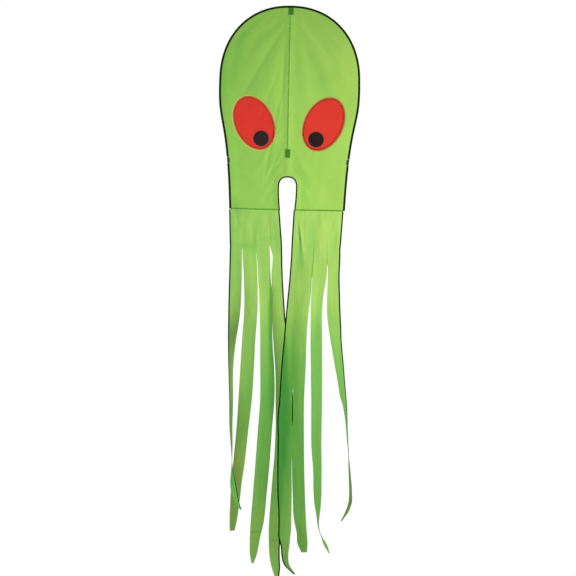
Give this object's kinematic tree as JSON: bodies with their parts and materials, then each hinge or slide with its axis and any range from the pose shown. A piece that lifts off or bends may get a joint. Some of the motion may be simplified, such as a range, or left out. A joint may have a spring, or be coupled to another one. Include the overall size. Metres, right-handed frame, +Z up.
{
  "type": "octopus kite",
  "caption": "Octopus kite: a rod-edged horseshoe head of green ripstop with two red eyes, a spine behind it, and two cloth legs slit into long tentacles that swing and bend.",
  "frame": {"origin": "middle of the edge rod at the nose, where the hung kite is held", "axes": "+Z up along the spine, -Y the printed face with the eyes, +Y the back with the spine, +X to the right as seen from the front"},
  "size_m": [0.6818, 0.09, 2.7466],
  "materials": {
    "sail_cloth": "thin ripstop nylon, light shines through",
    "leg_cloth": "the same ripstop, hanging in single strips",
    "seam_cloth": "ripstop turned double and stitched",
    "sleeve_cloth": "black woven polyester edge tape",
    "hem_tape": "thin black binding tape",
    "eye_cloth": "red ripstop applique",
    "pupil_cloth": "black ripstop applique",
    "rod": "solid pale fibreglass rod",
    "ferrule": "drawn tube",
    "vinyl": "moulded black vinyl",
    "pocket_webbing": "black nylon webbing"
  },
  "bodies": {
    "head": {"head_sail": "sail_cloth", "notch_binding": "hem_tape", "arch_sleeve": "sleeve_cloth", "left_side_sleeve": "sleeve_cloth", "right_side_sleeve": "sleeve_cloth", "left_arch_rod": "rod", "right_arch_rod": "rod", "nose_ferrule": "ferrule", "left_side_rod": "rod", "right_side_rod": "rod", "left_rod_connector": "vinyl", "right_rod_connector": "vinyl", "left_rod_cap": "vinyl", "right_rod_cap": "vinyl", "spine_rod": "rod", "nose_pocket": "pocket_webbing", "spine_base_pocket": "pocket_webbing", "left_eye": "eye_cloth", "right_eye": "eye_cloth", "left_pupil": "pupil_cloth", "right_pupil": "pupil_cloth", "left_cross_seam": "seam_cloth", "right_cross_seam": "seam_cloth"},
    "left_leg": {"left_leg_panel": "leg_cloth", "left_leg_outer_hem": "hem_tape", "left_leg_inner_hem": "hem_tape"},
    "right_leg": {"right_leg_panel": "leg_cloth", "right_leg_outer_hem": "hem_tape", "right_leg_inner_hem": "hem_tape"},
    "tentacle_1_upper_length": {"tentacle_1_upper": "leg_cloth", "tentacle_1_upper_hem": "hem_tape"},
    "tentacle_1_lower_length": {"tentacle_1_lower": "leg_cloth", "tentacle_1_lower_hem": "hem_tape"},
    "tentacle_2_upper_length": {"tentacle_2_upper": "leg_cloth"},
    "tentacle_2_lower_length": {"tentacle_2_lower": "leg_cloth"},
    "tentacle_3_upper_length": {"tentacle_3_upper": "leg_cloth"},
    "tentacle_3_lower_length": {"tentacle_3_lower": "leg_cloth"},
    "tentacle_4_upper_length": {"tentacle_4_upper": "leg_cloth", "tentacle_4_upper_hem": "hem_tape"},
    "tentacle_4_lower_length": {"tentacle_4_lower": "leg_cloth", "tentacle_4_lower_hem": "hem_tape"},
    "tentacle_5_upper_length": {"tentacle_5_upper": "leg_cloth", "tentacle_5_upper_hem": "hem_tape"},
    "tentacle_5_lower_length": {"tentacle_5_lower": "leg_cloth", "tentacle_5_lower_hem": "hem_tape"},
    "tentacle_6_upper_length": {"tentacle_6_upper": "leg_cloth"},
    "tentacle_6_lower_length": {"tentacle_6_lower": "leg_cloth"},
    "tentacle_7_upper_length": {"tentacle_7_upper": "leg_cloth"},
    "tentacle_7_lower_length": {"tentacle_7_lower": "leg_cloth"},
    "tentacle_8_upper_length": {"tentacle_8_upper": "leg_cloth", "tentacle_8_upper_hem": "hem_tape"},
    "tentacle_8_lower_length": {"tentacle_8_lower": "leg_cloth", "tentacle_8_lower_hem": "hem_tape"}
  },
  "joints": [
    {"name": "left_leg_swing", "type": "hinge", "parent": "head", "child": "left_leg", "pos_m": [0, 0, -0.979], "axis": [1, 0, 0], "range_deg": [-30, 60]},
    {"name": "right_leg_swing", "type": "hinge", "parent": "head", "child": "right_leg", "pos_m": [0, 0, -0.979], "axis": [1, 0, 0], "range_deg": [-30, 60]},
    {"name": "tentacle_1_swing", "type": "hinge", "parent": "left_leg", "child": "tentacle_1_upper_length", "pos_m": [0, 0, -1.15], "axis": [1, 0, 0], "range_deg": [-30, 45]},
    {"name": "tentacle_1_bend", "type": "hinge", "parent": "tentacle_1_upper_length", "child": "tentacle_1_lower_length", "pos_m": [-0.2445, -0.008, -1.5], "axis": [0.8988, 0.4384, 0], "range_deg": [-50, 0]},
    {"name": "tentacle_2_swing", "type": "hinge", "parent": "left_leg", "child": "tentacle_2_upper_length", "pos_m": [0, 0, -1.15], "axis": [1, 0, 0], "range_deg": [-30, 45]},
    {"name": "tentacle_2_bend", "type": "hinge", "parent": "tentacle_2_upper_length", "child": "tentacle_2_lower_length", "pos_m": [-0.1823, 0.01, -1.89], "axis": [0.9903, 0.1392, 0], "range_deg": [0, 60]},
    {"name": "tentacle_3_swing", "type": "hinge", "parent": "left_leg", "child": "tentacle_3_upper_length", "pos_m": [0, 0, -1.15], "axis": [1, 0, 0], "range_deg": [-30, 45]},
    {"name": "tentacle_3_bend", "type": "hinge", "parent": "tentacle_3_upper_length", "child": "tentacle_3_lower_length", "pos_m": [-0.0758, -0.008, -1.89], "axis": [0.9994, 0.0349, 0], "range_deg": [-40, 60]},
    {"name": "tentacle_4_swing", "type": "hinge", "parent": "left_leg", "child": "tentacle_4_upper_length", "pos_m": [0, 0, -1.15], "axis": [1, 0, 0], "range_deg": [-30, 45]},
    {"name": "tentacle_4_bend", "type": "hinge", "parent": "tentacle_4_upper_length", "child": "tentacle_4_lower_length", "pos_m": [0.0065, 0.021, -1.89], "axis": [0.9945, 0.1045, 0], "range_deg": [0, 60]},
    {"name": "tentacle_5_swing", "type": "hinge", "parent": "right_leg", "child": "tentacle_5_upper_length", "pos_m": [0, 0, -1.15], "axis": [1, 0, 0], "range_deg": [-30, 45]},
    {"name": "tentacle_5_bend", "type": "hinge", "parent": "tentacle_5_upper_length", "child": "tentacle_5_lower_length", "pos_m": [0.0126, 0.003, -1.89], "axis": [0.9994, 0.0349, 0], "range_deg": [-45, 0]},
    {"name": "tentacle_6_swing", "type": "hinge", "parent": "right_leg", "child": "tentacle_6_upper_length", "pos_m": [0, 0, -1.15], "axis": [1, 0, 0], "range_deg": [-30, 45]},
    {"name": "tentacle_6_bend", "type": "hinge", "parent": "tentacle_6_upper_length", "child": "tentacle_6_lower_length", "pos_m": [0.0745, -0.011, -1.89], "axis": [0.9945, 0.1045, 0], "range_deg": [-45, 0]},
    {"name": "tentacle_7_swing", "type": "hinge", "parent": "right_leg", "child": "tentacle_7_upper_length", "pos_m": [0, 0, -1.15], "axis": [1, 0, 0], "range_deg": [-30, 45]},
    {"name": "tentacle_7_bend", "type": "hinge", "parent": "tentacle_7_upper_length", "child": "tentacle_7_lower_length", "pos_m": [0.161, -0.014, -1.89], "axis": [0.9272, -0.3746, 0], "range_deg": [-40, 60]},
    {"name": "tentacle_8_swing", "type": "hinge", "parent": "right_leg", "child": "tentacle_8_upper_length", "pos_m": [0, 0, -1.15], "axis": [1, 0, 0], "range_deg": [-30, 45]},
    {"name": "tentacle_8_bend", "type": "hinge", "parent": "tentacle_8_upper_length", "child": "tentacle_8_lower_length", "pos_m": [0.2375, -0.008, -1.5], "axis": [0.9848, -0.1736, 0], "range_deg": [-40, 60]}
  ]
}
